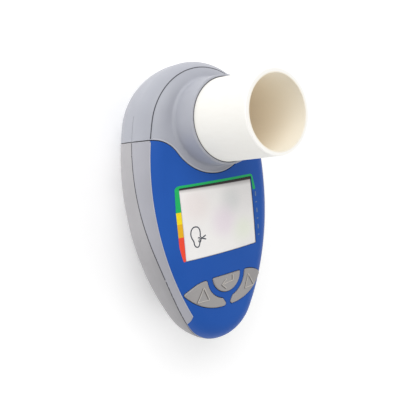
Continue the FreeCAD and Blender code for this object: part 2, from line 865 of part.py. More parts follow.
def make_parts():
    parts = {}
    shell = body_shell()
    front = above_parting()
    upper = shell.common(front)
    for opening in key_openings():
        upper = upper.cut(opening)
    lower = shell.cut(front)
    band = upper.cut(edge_core(seat_depth)).common(band_side())
    parts["front_fascia"] = make_fascia(upper, band)
    parts["middle_frame"] = band
    parts["rear_shell"] = make_rear_shell(lower)
    parts["battery_door"] = make_door()
    parts["head_front_cover"], parts["head_rear_housing"] = make_head_parts()
    parts["flow_tube"] = make_flow_tube()
    parts["front_stator"] = make_stator(stator_front_depth, False)
    parts["rear_stator"] = make_stator(stator_rear_depth, True)
    parts["front_bearing"] = make_bearing(stator_front_end - bearing_height, False)
    parts["rear_bearing"] = make_bearing(stator_rear_depth, True)
    parts["rotor_vane"], parts["rotor_shaft"] = make_rotor()
    parts["exhaust_grille"] = make_grille()
    parts["tube_seal"] = make_seal()
    parts["mouthpiece"] = make_mouthpiece()
    lens, lcd, holder, strips = make_display()
    parts["display_window"] = lens
    parts["lcd_panel"] = lcd
    parts["lcd_holder"] = holder
    parts["lcd_contact_strips"] = strips
    parts["left_key"], parts["enter_key"], parts["right_key"] = make_keys()
    parts["key_domes"] = make_domes()
    parts["main_board"] = make_board()
    half = chip_size / 2
    parts["processor_chip"] = pad(half, chip_drop - half, chip_drop + half, board_back,
                                  board_back + chip_height)
    parts["clock_crystal"] = make_crystal()
    parts["buzzer"] = rod(0, tail_drop - buzzer_rise, buzzer_radius, board_back, board_back + buzzer_height)
    parts["infrared_emitter"], parts["infrared_receiver"] = make_sensors()
    parts["battery_left"] = make_cell(-1, True)
    parts["battery_right"] = make_cell(1, False)
    parts["battery_springs"], parts["battery_contacts"] = make_contacts()
    parts["body_screws"] = make_screws(body_screw_places, board_depth)
    parts["head_screws"] = make_screws(head_screw_places, head_joint_depth)
    return parts


os.makedirs("parts", exist_ok=True)
for name, shape in make_parts().items():
    shape.exportStep("parts/" + name + ".step")
    print(name, len(shape.Solids), round(shape.Volume / 1000, 3), "cm3")
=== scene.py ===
import json
import math

import bmesh
import bpy
from mathutils import Matrix, Vector
from mathutils.bvhtree import BVHTree


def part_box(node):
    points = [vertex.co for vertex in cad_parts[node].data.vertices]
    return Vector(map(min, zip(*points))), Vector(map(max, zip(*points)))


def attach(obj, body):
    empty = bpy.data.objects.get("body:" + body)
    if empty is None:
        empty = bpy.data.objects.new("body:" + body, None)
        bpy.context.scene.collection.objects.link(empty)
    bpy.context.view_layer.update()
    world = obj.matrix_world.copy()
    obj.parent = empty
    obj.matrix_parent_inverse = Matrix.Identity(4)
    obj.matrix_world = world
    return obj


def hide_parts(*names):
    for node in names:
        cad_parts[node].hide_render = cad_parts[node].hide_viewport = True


# A hand-held lung function monitor lying on its back on a white table.
# Blender works in metres. The dictionaries give millimetres, but the studio's is in metres.

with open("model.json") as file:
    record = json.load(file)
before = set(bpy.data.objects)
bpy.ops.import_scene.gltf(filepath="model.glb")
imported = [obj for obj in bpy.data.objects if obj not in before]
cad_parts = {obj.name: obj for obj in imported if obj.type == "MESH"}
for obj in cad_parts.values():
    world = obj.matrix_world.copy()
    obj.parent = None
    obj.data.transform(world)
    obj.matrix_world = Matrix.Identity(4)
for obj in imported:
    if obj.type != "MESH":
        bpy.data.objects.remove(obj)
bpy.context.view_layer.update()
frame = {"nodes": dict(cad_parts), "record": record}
nodes = frame["nodes"]
mounts = {mount["name"]: mount for mount in frame["record"]["mounts"]}
flowX, flowY = mounts["mouthpiece_bore"]["pos_m"][:2]
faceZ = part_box("front_fascia")[1].z  # the middle of the front face


def mm(value):
    return value / 1000


def at(x, drop, depth=0.0):
    # x across, drop from the mouthpiece's axis towards the tail, depth below the face, in mm
    return Vector((mm(x), flowY - mm(drop), faceZ - mm(depth)))


down = Vector((0, 0, -1))
skyZ = faceZ + mm(60)  # above the whole object, where rays down start
farOut = mm(100)  # past the flanks and the tail, where rays inwards start


# camera

cameraValues = {
    "lens": 47.8,
    "sensor": 36.0,
    "place": (-127.479, 27.382, 199.414),
    # the picture's own directions in the frame
    "right": (0.79453536, -0.11033321, 0.59710982),
    "down": (-0.15938507, -0.98676814, 0.02974961),
    "forward": (0.58592658, -0.11880750, -0.80160765),
}


def makeCamera(values):
    data = bpy.data.cameras.new("camera")
    data.lens = values["lens"]
    data.sensor_width = values["sensor"]
    data.clip_start = 0.01
    camera = bpy.data.objects.new("camera", data)
    bpy.context.scene.collection.objects.link(camera)
    turn = Matrix((values["right"], [-part for part in values["down"]],
                   [-part for part in values["forward"]])).transposed()
    camera.matrix_world = turn.to_4x4()
    camera.location = [mm(part) for part in values["place"]]
    bpy.context.scene.camera = camera


makeCamera(cameraValues)
print("camera set")


# shader maths

class Wire:
    # one output socket in a node tree, and arithmetic on it adds Math nodes
    def __init__(self, owner, socket):
        self.owner = owner
        self.socket = socket

    def calc(self, operation, first, second):
        return self.owner.node("ShaderNodeMath", {"operation": operation}, {0: first, 1: second})

    def __add__(self, other):
        return self.calc("ADD", self, other)

    def __radd__(self, other):
        return self.calc("ADD", other, self)

    def __sub__(self, other):
        return self.calc("SUBTRACT", self, other)

    def __rsub__(self, other):
        return self.calc("SUBTRACT", other, self)

    def __mul__(self, other):
        return self.calc("MULTIPLY", self, other)

    def __rmul__(self, other):
        return self.calc("MULTIPLY", other, self)

    def __truediv__(self, other):
        return self.calc("DIVIDE", self, other)

    def __rtruediv__(self, other):
        return self.calc("DIVIDE", other, self)

    def __pow__(self, other):
        return self.calc("POWER", self, other)

    def __mod__(self, other):
        return self.calc("MODULO", self, other)

    def ease(self, low, high, kind="SMOOTHSTEP"):
        # 0 below low, 1 above high and a smooth step between
        return self.owner.node("ShaderNodeMapRange", {"interpolation_type": kind},
                               {0: self, 1: low, 2: high})

    def axis(self, name):
        # X, Y or Z of a vector
        return self.owner.node("ShaderNodeSeparateXYZ", {}, {0: self}, name)


class Tree:
    # a node tree being made, with one method for any node
    def __init__(self, tree):
        self.tree = tree
        self.tree.nodes.clear()

    def node(self, kind, settings=None, sockets=None, output=0):
        made = self.tree.nodes.new(kind)
        for key, value in (settings or {}).items():
            setattr(made, key, value)
        for key, value in (sockets or {}).items():
            if isinstance(value, Wire):
                self.tree.links.new(value.socket, made.inputs[key])
            else:
                made.inputs[key].default_value = value
        return Wire(self, made.outputs[output]) if made.outputs else None


shaderSockets = {
    "coat": "Coat Weight",
    "metal": "Metallic",
    "clear": "Alpha",
    "level": "Specular IOR Level",
}


class Paint(Tree):
    # a material being made
    def __init__(self, name):
        self.material = bpy.data.materials.new(name)
        self.material.use_nodes = True
        super().__init__(self.material.node_tree)
        self.place = self.node("ShaderNodeTexCoord", output="Object")

    def noise(self, scale, detail, stretch=(1, 1, 1)):
        place = self.node("ShaderNodeMapping", {}, {"Vector": self.place, "Scale": stretch})
        return self.node("ShaderNodeTexNoise", {}, {"Vector": place, "Scale": scale, "Detail": detail})

    def mix(self, share, first, second):
        # inputs 6 and 7 and output 2 are the Mix node's colours
        return self.node("ShaderNodeMix", {"data_type": "RGBA"}, {0: share, 6: first, 7: second}, 2)

    def done(self, colour, roughness, height=None, distance=0.0, edge=0.0, glow=None, **fixed):
        # height is the bump's pattern, distance its depth, and edge softens the corners by that radius
        sockets = {"Base Color": colour, "Roughness": roughness}
        for key, value in fixed.items():
            sockets[shaderSockets[key]] = value
        if glow is not None:
            sockets["Emission Color"] = glow
            sockets["Emission Strength"] = 1.0
        normal = self.node("ShaderNodeBevel", {"samples": 4}, {"Radius": edge}) if edge else None
        if height is not None:
            bump = {"Height": height, "Distance": distance, "Strength": 1.0}
            if normal:
                bump["Normal"] = normal
            normal = self.node("ShaderNodeBump", {}, bump)
        if normal:
            sockets["Normal"] = normal
        shader = self.node("ShaderNodeBsdfPrincipled", {}, sockets)
        self.node("ShaderNodeOutputMaterial", {}, {"Surface": shader})
        return self.material


def tone(red, green, blue):
    # a colour given from 0 to 255 on the screen, turned into what the shader wants
    def one(value):
        value = value / 255
        return value / 12.92 if value <= 0.04045 else ((value + 0.055) / 1.055) ** 2.4
    return (one(red), one(green), one(blue), 1.0)


class Shape(Tree):
    # a geometry node tree, whose sizes are named inputs
    def __init__(self, name, sizes):
        super().__init__(bpy.data.node_groups.new(name, "GeometryNodeTree"))
        self.name = name
        self.values = sizes
        sockets = self.tree.interface
        sockets.new_socket("Geometry", in_out="OUTPUT", socket_type="NodeSocketGeometry")
        sockets.new_socket("Base", in_out="INPUT", socket_type="NodeSocketGeometry")
        sockets.new_socket("Finish", in_out="INPUT", socket_type="NodeSocketMaterial")
        for size, value in sizes.items():
            kind = "NodeSocketInt" if isinstance(value, int) else "NodeSocketFloat"
            sockets.new_socket(size, in_out="INPUT", socket_type=kind)
        group = self.tree.nodes.new("NodeGroupInput")
        self.base = Wire(self, group.outputs["Base"])
        self.finish = Wire(self, group.outputs["Finish"])
        self.sizes = {size: Wire(self, group.outputs[size]) for size in sizes}

    def vector(self, x, y, z):
        return self.node("ShaderNodeCombineXYZ", {}, {"X": x, "Y": y, "Z": z})

    def place(self, name):
        return self.node("GeometryNodeInputPosition").axis(name)

    def end(self, form):
        whole = self.node("GeometryNodeRealizeInstances", {}, {"Geometry": form})
        painted = self.node("GeometryNodeSetMaterial", {}, {"Geometry": whole, "Material": self.finish})
        self.node("NodeGroupOutput", {}, {"Geometry": painted})

    def mesh(self, name, finish, base=None, sizes=None):
        # the tree's result as a plain mesh
        values = {**self.values, **(sizes or {}), "Finish": finishes[finish]}
        holder = bpy.data.objects.new(name + "Holder", base or bpy.data.meshes.new(name + "Base"))
        bpy.context.scene.collection.objects.link(holder)
        modifier = holder.modifiers.new(self.name, "NODES")
        modifier.node_group = self.tree
        for item in self.tree.interface.items_tree:
            if item.in_out == "INPUT" and item.name in values:
                modifier[item.identifier] = values[item.name]
        seen = holder.evaluated_get(bpy.context.evaluated_depsgraph_get())
        result = bpy.data.meshes.new_from_object(seen)
        bpy.data.objects.remove(holder)
        result.name = name
        return result


# finishes

def mouldedShell(name, colour, roughness=0.42, drift=0.04, edge=0.25, tailShade=0.0):
    # satin moulded plastic: slow random changes of tone, a fine eroded grain and rougher patches;
    # with tailShade, painted shade darkens the end towards the tail, which turns away from the light
    paint = Paint(name)
    cloud = paint.noise(45, 3)
    grain = paint.noise(2400, 3)
    handled = paint.noise(110, 4).ease(0.45, 0.75)
    light = [part * (1 + drift) for part in colour[:3]] + [1]
    dark = [part * (1 - drift) for part in colour[:3]] + [1]
    shade = paint.mix(cloud.ease(0.3, 0.7), dark, light)
    if tailShade:
        tail = 1 - paint.place.axis("Y").ease(mm(-36), mm(4))
        shade = paint.mix(tail * tailShade, shade, (0, 0, 0, 1))
    rough = roughness + grain * 0.08 + handled * 0.06
    return paint.done(shade, rough, grain, mm(0.012), mm(edge))


def blueFascia():
    # smooth in-mould film with a faint orange peel
    paint = Paint("blueFascia")
    peel = paint.noise(420, 2)
    fine = paint.noise(3000, 2)
    cloud = paint.noise(30, 2)
    shade = paint.mix(cloud.ease(0.3, 0.7), tone(30, 86, 174), tone(33, 91, 180))
    return paint.done(shade, 0.44 + fine * 0.08, peel * 0.7 + fine * 0.3, mm(0.01), mm(0.25),
                      level=0.22)


tubeTones = {
    "bore": (13.15, 13.45),  # radii between which the bore's tone turns into the outside's
    "depth": (2.0, 35.5),  # heights above the face over which the painted shade in the bore fades out towards the lip
    "rim": (34.5, 35.2),  # heights between which the painted glow on the outside grows stronger at the lip, a painted highlight
}


def tubeWhite(values):
    # the mouthpiece: off-white outside, with painted shade that makes the bore darker and creamier
    # further down, and a painted glow
    paint = Paint("tubeWhite")
    across = paint.place.axis("X") - flowX
    along = paint.place.axis("Y") - flowY
    level = paint.place.axis("Z")
    reach = (across ** 2 + along ** 2) ** 0.5
    inside = 1 - reach.ease(*[mm(radius) for radius in values["bore"]])
    deep = 1 - level.ease(*[faceZ + mm(height) for height in values["depth"]])
    rim = level.ease(*[faceZ + mm(height) for height in values["rim"]])
    fibre = paint.noise(900, 3, (1, 1, 0.25))
    outer = paint.mix(fibre, tone(202, 200, 194), tone(207, 206, 202))
    # painted shade: the bore darker and creamier further down
    inner = paint.mix(deep, tone(232, 227, 214), tone(207, 191, 166))
    shade = paint.mix(inside, outer, inner)
    # painted glow: emission that brightens the whole tube, most at the lip and least in the bore
    outerGlow = paint.mix(rim, (0.3, 0.295, 0.28, 1), (0.39, 0.385, 0.375, 1))
    innerGlow = paint.mix(deep, (0.15, 0.135, 0.11, 1), (0.17, 0.15, 0.115, 1))
    paintedGlow = paint.mix(inside, outerGlow, innerGlow)
    return paint.done(shade, 0.5 + fibre * 0.1, fibre, mm(0.02), mm(0.2), glow=paintedGlow)


def clearPlastic(name, colour, share):
    paint = Paint(name)
    ripple = paint.noise(220, 2)
    shade = paint.mix(ripple, colour, [part * 0.96 for part in colour[:3]] + [1])
    return paint.done(shade, 0.08 + ripple * 0.05, ripple, mm(0.01), coat=0.3, clear=share)


displayTones = {
    "halfWidth": 18.05,
    "top": 23.3,
    "foot": 51.3,
    # x, drop, reach, strength and tint of each faint spot
    "spots": ((-12, 31, 10, 0.7, (227, 217, 215)), (6, 31.5, 8, 0.6, (208, 211, 211)),
              (1, 38.5, 9, 0.6, (226, 210, 224)), (11, 44, 8, 0.6, (228, 236, 214))),
}


def displayFace(values):
    # a reflective liquid crystal panel with faint cloudy tints, a painted shadow under the front's top
    # edge, painted shade along its other edges and a faint painted glow
    paint = Paint("displayFace")
    x, y = paint.place.axis("X"), paint.place.axis("Y")
    half = mm(values["halfWidth"])
    cloud = paint.noise(70, 2)
    shade = paint.mix(cloud.ease(0.35, 0.65), tone(238, 236, 234), tone(232, 230, 229))
    for spotX, drop, reach, strength, tint in values["spots"]:
        away = ((x - mm(spotX)) ** 2 + (y - (flowY - mm(drop))) ** 2) ** 0.5
        spot = 1 - (away + (cloud - 0.5) * mm(6)).ease(mm(1), mm(reach))
        shade = paint.mix(spot * strength, shade, tone(*tint))
    # a painted shadow under the front's top edge, with a dark band just below the edge
    below = (flowY - mm(values["top"])) - y
    thick = (x + mm(18)) * 0.014 + mm(0.7)  # the shadow is thicker towards the right
    shadow = 1 - below.ease(thick, thick * 3)
    edgeShadow = 1 - below.ease(thick - mm(0.15), thick + mm(0.3))
    # painted shade along the left, right and foot edges of the recess
    left = 1 - (x + half).ease(mm(0.15), mm(0.4))
    right = 1 - (half - x).ease(mm(0.3), mm(0.55))
    foot = 1 - (y - (flowY - mm(values["foot"]))).ease(mm(0.2), mm(0.4))
    # the painted shadow and painted shade laid over the panel's own tints
    shade = paint.mix(shadow * 0.45, shade, tone(120, 112, 112))
    shade = paint.mix(edgeShadow * 0.95, shade, tone(30, 20, 20))
    shade = paint.mix(left * 0.7, shade, tone(70, 76, 92))
    shade = paint.mix(right * 0.75, shade, tone(92, 84, 80))
    shade = paint.mix(foot * 0.6, shade, tone(96, 90, 88))
    # a faint painted glow, dimmed under the painted shadow at the top edge
    light = paint.mix(1 - (1 - edgeShadow) * (1 - shadow * 0.6), (0.09, 0.085, 0.08, 1), (0, 0, 0, 1))
    mesh = paint.noise(5200, 1)
    return paint.done(shade, 0.25 + mesh * 0.05, mesh, mm(0.004), level=0.3, glow=light)


# a flat colour with a faint cover, for real print and dark joints, and also for painted shade beside the
# key signs and round the mouthpiece
def printedInkAndShade(name, colour, roughness=0.45):
    paint = Paint(name)
    cover = paint.noise(1500, 3)
    shade = paint.mix(cover.ease(0.25, 0.8), [part * 0.92 for part in colour[:3]] + [1], colour)
    return paint.done(shade, roughness + cover * 0.08, cover, mm(0.01))


def brushedMetal(name, colour, roughness=0.28):
    paint = Paint(name)
    brushed = paint.noise(900, 3, (1, 9, 1))
    spots = paint.noise(160, 3)
    shade = paint.mix(spots.ease(0.4, 0.8), colour, [part * 0.85 for part in colour[:3]] + [1])
    return paint.done(shade, roughness + brushed * 0.12, brushed, mm(0.006), metal=1.0)


def darkRubber():
    paint = Paint("darkRubber")
    grain = paint.noise(1800, 4)
    shade = paint.mix(grain, tone(40, 41, 44), tone(52, 53, 57))
    return paint.done(shade, 0.7 + grain * 0.1, grain, mm(0.03))


def circuitBoard():
    # green lacquer, lighter over copper tracks that are broken into blocks
    paint = Paint("circuitBoard")
    wave = {"wave_type": "BANDS", "bands_direction": "X"}
    tracks = paint.node("ShaderNodeTexWave", wave, {"Vector": paint.place, "Scale": 260.0,
                                                    "Distortion": 3.0, "Detail": 1.0})
    blocks = paint.node("ShaderNodeTexVoronoi", {"distance": "CHEBYCHEV"},
                        {"Vector": paint.place, "Scale": 210.0})
    copper = tracks.ease(0.62, 0.7) * blocks.ease(0.15, 0.2)
    shade = paint.mix(copper, tone(16, 92, 52), tone(44, 132, 76))
    return paint.done(shade, 0.3 + copper * 0.1, copper, mm(0.03), coat=0.4)


def cellJacket():
    # a plain printed battery jacket: dark with a lighter band at one end
    paint = Paint("cellJacket")
    along = paint.place.axis("Y")
    scuff = paint.noise(500, 4, (1, 4, 1))
    band = along.ease(mm(-2.2), mm(-1.8))
    shade = paint.mix(band, tone(58, 62, 70), tone(196, 150, 82))
    shade = paint.mix(scuff.ease(0.6, 0.9) * 0.4, shade, tone(150, 150, 152))
    return paint.done(shade, 0.25 + scuff * 0.15, scuff, mm(0.01), metal=0.6, coat=0.3)


finishes = {
    "fascia": blueFascia(),
    "frame": mouldedShell("frameGrey", tone(172, 172, 180)),
    # painted shade darkens the rear shell towards its tail
    "rear": mouldedShell("rearGrey", tone(177, 175, 178), tailShade=0.22),
    "head": mouldedShell("headGrey", tone(172, 174, 183), 0.36),
    "inner": mouldedShell("innerWhite", tone(232, 230, 226), 0.5),
    "keys": mouldedShell("keyTaupe", tone(162, 159, 158), 0.45, 0.05, 0.3),
    "tube": tubeWhite(tubeTones),
    "clear": clearPlastic("clearTube", tone(226, 232, 236), 0.35),
    "lens": clearPlastic("clearWindow", tone(240, 241, 243), 0.06),
    "display": displayFace(displayTones),
    "rubber": darkRubber(),
    "steel": brushedMetal("platedSteel", tone(200, 200, 204)),
    "brass": brushedMetal("brassDisc", tone(205, 172, 105)),
    "board": circuitBoard(),
    "chip": mouldedShell("chipBlack", tone(34, 34, 36), 0.5),
    "vane": mouldedShell("vaneBlack", tone(26, 26, 28), 0.4),
    "jewel": mouldedShell("bearingJewel", tone(190, 70, 96), 0.12),
    "lamp": clearPlastic("lampClear", tone(196, 196, 210), 0.7),
    "cell": cellJacket(),
    "green": printedInkAndShade("zoneGreen", tone(0, 184, 96)),
    "yellow": printedInkAndShade("zoneYellow", tone(255, 226, 0)),
    "amber": printedInkAndShade("zoneAmber", tone(242, 184, 0)),
    "red": printedInkAndShade("zoneRed", tone(250, 72, 42)),
    "marks": printedInkAndShade("scaleMarks", tone(98, 124, 164)),
    "seam": printedInkAndShade("seamShadow", tone(72, 73, 80), 0.7),
    "faintSeam": printedInkAndShade("faintSeam", tone(140, 141, 150), 0.6),
    # painted shade beside the raised key signs
    "keyShade": printedInkAndShade("keyShade", tone(104, 101, 100), 0.6),
    # a lighter strip laid along edges as a painted highlight
    "edgeHighlight": mouldedShell("frameLip", tone(190, 191, 199), 0.35),
    "segments": printedInkAndShade("displayInk", tone(56, 62, 76)),
    # painted highlight on the raised key signs
    "keyEdge": mouldedShell("keyEdge", tone(194, 189, 184), 0.4, 0.03),
}

cadFinishes = {  # which nodes of the CAD model get each finish
    "fascia": ["front_fascia"],
    "frame": ["middle_frame"],
    "rear": ["rear_shell", "battery_door"],
    "head": ["head_front_cover", "head_rear_housing", "exhaust_grille"],
    "inner": ["front_stator", "rear_stator", "lcd_holder"],
    "keys": ["left_key", "enter_key", "right_key"],
    "clear": ["flow_tube"],
    "tube": ["mouthpiece"],
    "jewel": ["front_bearing", "rear_bearing"],
    "vane": ["rotor_vane"],
    "rubber": ["tube_seal", "lcd_contact_strips"],
    "steel": ["rotor_shaft", "key_domes", "clock_crystal", "battery_springs", "battery_contacts",
              "body_screws", "head_screws"],
    "lens": ["display_window"],
    "display": ["lcd_panel"],
    "board": ["main_board"],
    "chip": ["processor_chip", "infrared_receiver"],
    "brass": ["buzzer"],
    "lamp": ["infrared_emitter"],
    "cell": ["battery_left", "battery_right"],
}


def dressNodes():
    for finish, names in cadFinishes.items():
        for name in names:
            nodes[name].data.materials.clear()
            nodes[name].data.materials.append(finishes[finish])


dressNodes()
print("finishes made")


# finding points on surfaces, and making pieces

class Skin:
    # the outside of some CAD nodes or pieces, which rays can be cast on
    def __init__(self, *names):
        corners, faces, self.owners = [], [], []
        for name in names:
            start = len(corners)
            mesh = (nodes[name] if name in nodes else bpy.data.objects[name]).data
            corners += [vertex.co.copy() for vertex in mesh.vertices]
            for face in mesh.polygons:
                faces.append([start + index for index in face.vertices])
                self.owners.append(name)
        self.tree = BVHTree.FromPolygons(corners, faces)

    def hit(self, start, direction):
        # the nearest point, the way its surface faces, and whose it is
        point, normal, index = self.tree.ray_cast(start, direction)[:3]
        if point is None:
            return None, None, None
        if normal.dot(direction) > 0:
            normal = -normal
        return point, normal, self.owners[index]

    def below(self, x, drop):
        start = at(x, drop)
        start.z = skyZ
        return self.hit(start, down)[:2]


def makePiece(name, corners, faces, finish, body):
    mesh = bpy.data.meshes.new(name)
    mesh.from_pydata([tuple(corner) for corner in corners], [], faces)
    work = bmesh.new()
    work.from_mesh(mesh)
    bmesh.ops.remove_doubles(work, verts=work.verts, dist=mm(0.0005))
    bmesh.ops.recalc_face_normals(work, faces=work.faces)
    work.to_mesh(mesh)
    work.free()
    mesh.materials.append(finishes[finish])
    return placePiece(name, mesh, body)


def placePiece(name, mesh, body, sharp=35):
    # edges that turn by more than sharp degrees stay sharp
    piece = bpy.data.objects.new(name, mesh)
    bpy.context.scene.collection.objects.link(piece)
    for face in mesh.polygons:
        face.use_smooth = True
    mesh.set_sharp_from_angle(angle=math.radians(sharp))
    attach(piece, body)
    return piece


def makeRibbonShape():
    # a strip swept along the base's edges, with its flat side along the surface they lie on
    shape = Shape("ribbonShape", {"Width": 0.0, "Thickness": 0.0, "Rise": 0.0})  # set for each ribbon
    size = shape.sizes
    up = shape.node("GeometryNodeInputNamedAttribute", {"data_type": "FLOAT_VECTOR"}, {"Name": "up"})
    curve = shape.node("GeometryNodeMeshToCurve", {}, {"Mesh": shape.base})
    curve = shape.node("GeometryNodeSetCurveNormal", {"mode": "FREE"}, {"Curve": curve, "Normal": up})
    profile = shape.node("GeometryNodeCurvePrimitiveQuadrilateral", {},
                         {"Width": size["Thickness"], "Height": size["Width"]})
    profile = shape.node("GeometryNodeTransform", {},
                         {"Geometry": profile, "Translation": shape.vector(size["Rise"], 0.0, 0.0)})
    shape.end(shape.node("GeometryNodeCurveToMesh", {},
                         {"Curve": curve, "Profile Curve": profile, "Fill Caps": True}))
    return shape


ribbonShape = makeRibbonShape()


def ribbon(name, chains, width, lift, sink, finish, body, closed=False):
    # each chain is a row of points on a surface, with the surface's directions there; the rest in mm
    corners, ups, edges = [], [], []
    for points, normals in chains:
        start, count = len(corners), len(points)
        for index, (point, normal) in enumerate(zip(points, normals)):
            ahead = points[(index + 1) % count] if closed or index < count - 1 else point
            behind = points[index - 1] if closed or index > 0 else point
            along = (ahead - behind).normalized()
            corners.append(point)
            ups += list((normal - along * normal.dot(along)).normalized())
        edges += [(start + index, start + index + 1) for index in range(count - 1)]
        edges += [(start + count - 1, start)] if closed else []
    path = bpy.data.meshes.new(name + "Path")
    path.from_pydata(corners, edges, [])
    path.attributes.new("up", "FLOAT_VECTOR", "POINT").data.foreach_set("vector", ups)
    sizes = {"Width": mm(width), "Thickness": mm(lift + sink), "Rise": mm(lift - sink) / 2}
    placePiece(name, ribbonShape.mesh(name, finish, path, sizes), body)


def between(first, second, share):
    # the (x, drop) point at this share of the way from the first to the second
    return (first[0] + (second[0] - first[0]) * share, first[1] + (second[1] - first[1]) * share)


def shares(first, second, step):
    # the shares of the way that part it into stretches no longer than step
    length = math.hypot(second[0] - first[0], second[1] - first[1])
    count = max(1, math.ceil(length / step))
    return [index / count for index in range(1, count + 1)]


def spread(points, step):
    # the same broken line with points no further apart than step
    result = [points[0]]
    for first, second in zip(points, points[1:]):
        result += [between(first, second, share) for share in shares(first, second, step)]
    return result


def quarter(centre, across, tall, start, end):
    # points of an elliptical corner, angles in degrees from +x towards the head
    steps = 8
    result = []
    for index in range(steps + 1):
        angle = math.radians(start + (end - start) * index / steps)
        result.append((centre[0] + across * math.cos(angle), centre[1] - tall * math.sin(angle)))
    return result


def patch(skin, pairs, lift, sink):
    # a printed strip draped on the surface, between its inner and outer (x, drop) points, in mm
    steps = 3
    wide = steps + 1
    corners, faces = [], []
    for inner, outer in pairs:
        row = [skin.below(*between(inner, outer, step / steps)) for step in range(wide)]
        corners += [point + normal * mm(lift) for point, normal in row]
        corners += [point - normal * mm(sink) for point, normal in row]
    for index in range(len(pairs) - 1):
        low, high = 2 * wide * index, 2 * wide * (index + 1)
        for step in range(steps):
            faces.append([low + step, low + step + 1, high + step + 1, high + step])
            faces.append([low + wide + step, high + wide + step, high + wide + step + 1,
                          low + wide + step + 1])
        faces.append([low, high, high + wide, low + wide])
        faces.append([low + steps, low + wide + steps, high + wide + steps, high + steps])
    for start in (0, 2 * wide * (len(pairs) - 1)):
        for step in range(steps):
            faces.append([start + step, start + wide + step, start + wide + step + 1, start + step + 1])
    return corners, faces


# the printed band round the display: green across the top and down the left side to red

bandValues = {
    "insideX": 18.12,
    "outsideX": 20.3,
    "insideDrop": 23.27,
    "outsideDrop": 22.35,
    "corner": (17.6, 23.9),
    "leftTop": 19.8,
    "rightTop": 19.0,
    "rightEnd": (18.4, 20.05, 28.5),  # the inner x, the outer x and the drop
    "topStep": 1.5,
    "zones": (("green", 32.2), ("yellow", 36.6), ("amber", 41.6)),  # each colour ends at its drop
    "zoneStep": 1.0,
    "redStart": 44.6,  # where the red zone starts to narrow
    "redEnd": 51.1,
    "redTip": 0.95,
    "redBend": 1.4,
    "redStep": 0.6,
    "round": 0.4,
    "lift": 0.05,
    "sink": 0.1,
}


def roundedEnd(inner, outer, radius):
    # pairs that close a strip with soft corners past its last pair of points
    pairs = []
    wide = outer[0] - inner[0]
    for angle in (30, 60, 80):
        inset = math.copysign(radius * (1 - math.cos(math.radians(angle))), wide)
        drop = inner[1] + radius * math.sin(math.radians(angle))
        pairs.append(((inner[0] + inset, drop), (outer[0] - inset, drop)))
    return pairs


def makeBand(values):
    skin = Skin("front_fascia")
    inX, outX = values["insideX"], values["outsideX"]
    inDrop, outDrop = values["insideDrop"], values["outsideDrop"]
    cornerX, cornerDrop = values["corner"]
    endIn, endOut, endDrop = values["rightEnd"]
    zones, radius = values["zones"], values["round"]

    def turn(side, across, top, start, end):
        return quarter((side * cornerX, cornerDrop), across - cornerX, cornerDrop - top, start, end)

    inner = [(endIn, endDrop)] + turn(1, inX, inDrop, 0, 90)
    outer = [(endOut, endDrop)] + turn(1, values["rightTop"], outDrop, 0, 90)
    inner += turn(-1, inX, inDrop, 90, 180) + [(-inX, zones[0][1])]
    outer += turn(-1, values["leftTop"], outDrop, 90, 180) + [(-outX, zones[0][1])]
    ends = list(zip(inner, outer))
    strips = {"green": roundedEnd(*ends[0], radius)[::-1] + ends[:1]}
    for first, second in zip(ends, ends[1:]):
        for share in shares(first[0], second[0], values["topStep"]):
            strips["green"].append((between(first[0], second[0], share),
                                    between(first[1], second[1], share)))
    for (_, start), (name, end) in zip(zones, zones[1:]):
        drops = [drop for _, drop in spread([(0, start), (0, end)], values["zoneStep"])]
        strips[name] = [((-inX, drop), (-outX, drop)) for drop in drops]
    # the red zone narrows to its foot
    strips["red"] = []
    redStart, redEnd, full = values["redStart"], values["redEnd"], outX - inX
    for _, drop in spread([(0, zones[-1][1]), (0, redEnd - radius)], values["redStep"]):
        share = max(0.0, (drop - redStart) / (redEnd - redStart))
        wide = full - (full - values["redTip"]) * share ** values["redBend"]
        strips["red"].append(((-inX, drop), (-inX - wide, drop)))
    strips["red"] += roundedEnd(*strips["red"][-1], radius)
    for name, pairs in strips.items():
        corners, faces = patch(skin, pairs, values["lift"], values["sink"])
        makePiece("zone" + name.capitalize(), corners, faces, name, "handset")


makeBand(bandValues)
print("band printed")


# lines where the mouldings meet, and a painted highlight along the blue front's edge

lineValues = {
    "parting": 0.32,
    "partingTurn": (48, -228),  # from and to, in degrees from +x, as the other turns
    "partingDepth": 18.0,  # where the scan from below starts
    # the width of the painted highlight along the blue front's edge, and where it turns
    "lip": 0.36,
    "lipTurn": (50, -230),
    "seamDrop": 4.6,
    "headLine": 0.34,
    "headTurn": (-12, 192),
    "headDrop": 4.1,
    "lift": 0.08,
    "sink": 0.25,
    "steps": 360,
    "scanFrom": 75.0,  # where the scans from outside start
    "scanStep": 0.25,
    "inset": 0.06,  # how far inside its edge a moulding is measured
    "jump": 1.5,  # a wider gap breaks a line
    "faintWidth": 0.22,
    "faintLift": 0.03,
    "faintSink": 0.15,
    "faintDrop": 4.0,
    "faintLength": 9.0,
    "faintSteps": 12,
}
bodyMiddle = Vector((0, mm(-4), 0))  # the lines round the body are looked for from here


def outwards(turn, steps):
    # level directions all the way from one angle to another, in degrees
    angles = [math.radians(turn[0] + (turn[1] - turn[0]) * index / steps) for index in range(steps + 1)]
    return [Vector((math.cos(angle), math.sin(angle), 0)) for angle in angles]


